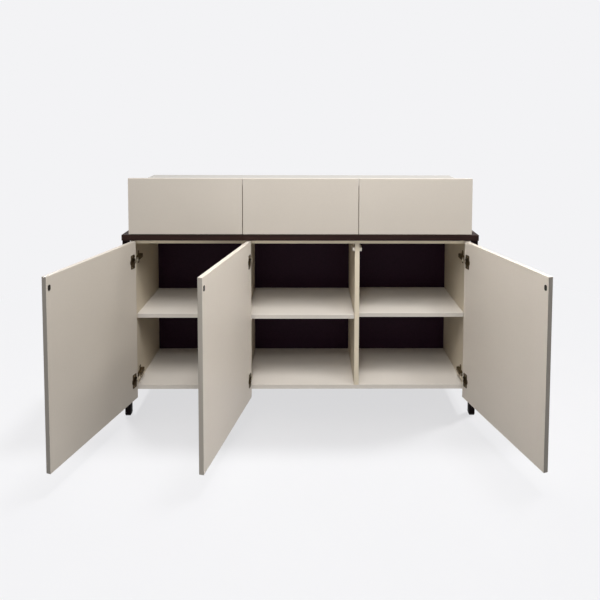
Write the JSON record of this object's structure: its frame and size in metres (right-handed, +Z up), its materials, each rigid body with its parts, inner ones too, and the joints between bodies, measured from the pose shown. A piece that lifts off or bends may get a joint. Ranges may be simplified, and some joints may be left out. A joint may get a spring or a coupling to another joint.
{
  "type": "office credenza",
  "caption": "Low office credenza: a dark slab on square legs carries a shallow drawer box above and a shelved cupboard with push-open doors below.",
  "frame": {"origin": "on the floor under the middle of the piece's outline as it stands with its doors open", "axes": "+X to the right as seen from the front, +Y from the front to the back, +Z up"},
  "size_m": [1.762, 0.852, 1.056],
  "materials": {
    "dark_veneer": "satin dark wood veneer",
    "dark_metal": "satin dark brown powder coat",
    "black_plastic": "moulded glide",
    "steel": "zinc-plated fastener",
    "cream_board": "cream laminated board",
    "cream_front": "cream lacquered front, eggshell",
    "dark_back": "dark laminated hardboard",
    "drawer_board": "pale laminated board",
    "zinc": "zinc-plated rolled steel",
    "nickel": "nickel-plated steel",
    "dark_steel": "dark steel strike plate",
    "white_plastic": "moulded white plastic"
  },
  "bodies": {
    "cabinet": {"back_panel": "dark_back", "box_back": "dark_back", "box_divider_left": "cream_board", "box_divider_right": "cream_board", "box_screws": "steel", "box_side_left": "cream_board", "box_side_right": "cream_board", "box_top": "cream_board", "carcass_bottom": "cream_board", "carcass_screws": "steel", "carcass_side_left": "cream_board", "carcass_side_right": "cream_board", "carcass_top": "cream_board", "divider_left": "cream_board", "divider_right": "cream_board", "hinge_arms": "nickel", "hinge_plates": "nickel", "latch_bodies": "white_plastic", "leg_back_left": "dark_metal", "leg_back_right": "dark_metal", "leg_front_left": "dark_metal", "leg_front_right": "dark_metal", "leg_glides": "black_plastic", "runner_rails": "zinc", "shelf_left": "cream_board", "shelf_middle": "cream_board", "shelf_pins": "steel", "shelf_right": "cream_board", "slab": "dark_veneer", "slab_screws": "steel"},
    "door_leaf_left": {"door_left": "cream_front", "hinge_cups_left": "nickel", "strike_left": "dark_steel"},
    "door_link_left": {"hinge_links_left": "nickel"},
    "drawer_unit_left": {"drawer_left_front": "cream_front", "drawer_left_box": "drawer_board", "drawer_left_bottom": "drawer_board", "runner_drawer_left": "zinc"},
    "drawer_slide_left": {"runner_middle_left": "zinc"},
    "latch_tip_left": {"latch_plunger_left": "white_plastic"},
    "door_leaf_middle": {"door_middle": "cream_front", "hinge_cups_middle": "nickel", "strike_middle": "dark_steel"},
    "door_link_middle": {"hinge_links_middle": "nickel"},
    "drawer_unit_middle": {"drawer_middle_front": "cream_front", "drawer_middle_box": "drawer_board", "drawer_middle_bottom": "drawer_board", "runner_drawer_middle": "zinc"},
    "drawer_slide_middle": {"runner_middle_middle": "zinc"},
    "latch_tip_middle": {"latch_plunger_middle": "white_plastic"},
    "door_leaf_right": {"door_right": "cream_front", "hinge_cups_right": "nickel", "strike_right": "dark_steel"},
    "door_link_right": {"hinge_links_right": "nickel"},
    "drawer_unit_right": {"drawer_right_front": "cream_front", "drawer_right_box": "drawer_board", "drawer_right_bottom": "drawer_board", "runner_drawer_right": "zinc"},
    "drawer_slide_right": {"runner_middle_right": "zinc"},
    "latch_tip_right": {"latch_plunger_right": "white_plastic"}
  },
  "joints": [
    {"name": "door_left_hinge", "type": "hinge", "parent": "cabinet", "child": "door_leaf_left", "pos_m": [-0.7375, 0.0505, 0.43], "axis": [0, 0, -1], "range_deg": [-107, 3]},
    {"name": "door_left_link_pin", "type": "hinge", "parent": "cabinet", "child": "door_link_left", "pos_m": [-0.7137, 0.0637, 0.43], "axis": [0, 0, -1], "range_deg": [-1.71, 53.89]},
    {"name": "drawer_left_runner", "type": "slide", "parent": "cabinet", "child": "drawer_unit_left", "axis": [0, -1, 0], "range_m": [0, 0.28]},
    {"name": "drawer_left_slide", "type": "slide", "parent": "cabinet", "child": "drawer_slide_left", "axis": [0, -1, 0], "range_m": [0, 0.14]},
    {"name": "latch_left_plunger", "type": "slide", "parent": "cabinet", "child": "latch_tip_left", "axis": [0, 1, 0], "range_m": [0, 0.003], "stiffness_N_per_m": 400, "springref_m": -0.004},
    {"name": "door_middle_hinge", "type": "hinge", "parent": "cabinet", "child": "door_leaf_middle", "pos_m": [-0.2361, 0.0495, 0.43], "axis": [0, 0, -1], "range_deg": [-103, 7]},
    {"name": "door_middle_link_pin", "type": "hinge", "parent": "cabinet", "child": "door_link_middle", "pos_m": [-0.2143, 0.0657, 0.43], "axis": [0, 0, -1], "range_deg": [-4.7, 66.43]},
    {"name": "drawer_middle_runner", "type": "slide", "parent": "cabinet", "child": "drawer_unit_middle", "axis": [0, -1, 0], "range_m": [0, 0.28]},
    {"name": "drawer_middle_slide", "type": "slide", "parent": "cabinet", "child": "drawer_slide_middle", "axis": [0, -1, 0], "range_m": [0, 0.14]},
    {"name": "latch_middle_plunger", "type": "slide", "parent": "cabinet", "child": "latch_tip_middle", "axis": [0, 1, 0], "range_m": [0, 0.003], "stiffness_N_per_m": 400, "springref_m": -0.004},
    {"name": "door_right_hinge", "type": "hinge", "parent": "cabinet", "child": "door_leaf_right", "pos_m": [0.7375, 0.0505, 0.43], "axis": [0, 0, 1], "range_deg": [-107, 3]},
    {"name": "door_right_link_pin", "type": "hinge", "parent": "cabinet", "child": "door_link_right", "pos_m": [0.7137, 0.0637, 0.43], "axis": [0, 0, 1], "range_deg": [-1.71, 53.89]},
    {"name": "drawer_right_runner", "type": "slide", "parent": "cabinet", "child": "drawer_unit_right", "axis": [0, -1, 0], "range_m": [0, 0.28]},
    {"name": "drawer_right_slide", "type": "slide", "parent": "cabinet", "child": "drawer_slide_right", "axis": [0, -1, 0], "range_m": [0, 0.14]},
    {"name": "latch_right_plunger", "type": "slide", "parent": "cabinet", "child": "latch_tip_right", "axis": [0, 1, 0], "range_m": [0, 0.003], "stiffness_N_per_m": 400, "springref_m": -0.004}
  ],
  "couplings": [
    {"joint": "door_left_link_pin", "follows": "door_left_hinge", "ratio": -0.5018},
    {"joint": "drawer_left_slide", "follows": "drawer_left_runner", "ratio": 0.5},
    {"joint": "door_middle_link_pin", "follows": "door_middle_hinge", "ratio": -0.643},
    {"joint": "drawer_middle_slide", "follows": "drawer_middle_runner", "ratio": 0.5},
    {"joint": "door_right_link_pin", "follows": "door_right_hinge", "ratio": -0.5018},
    {"joint": "drawer_right_slide", "follows": "drawer_right_runner", "ratio": 0.5}
  ]
}
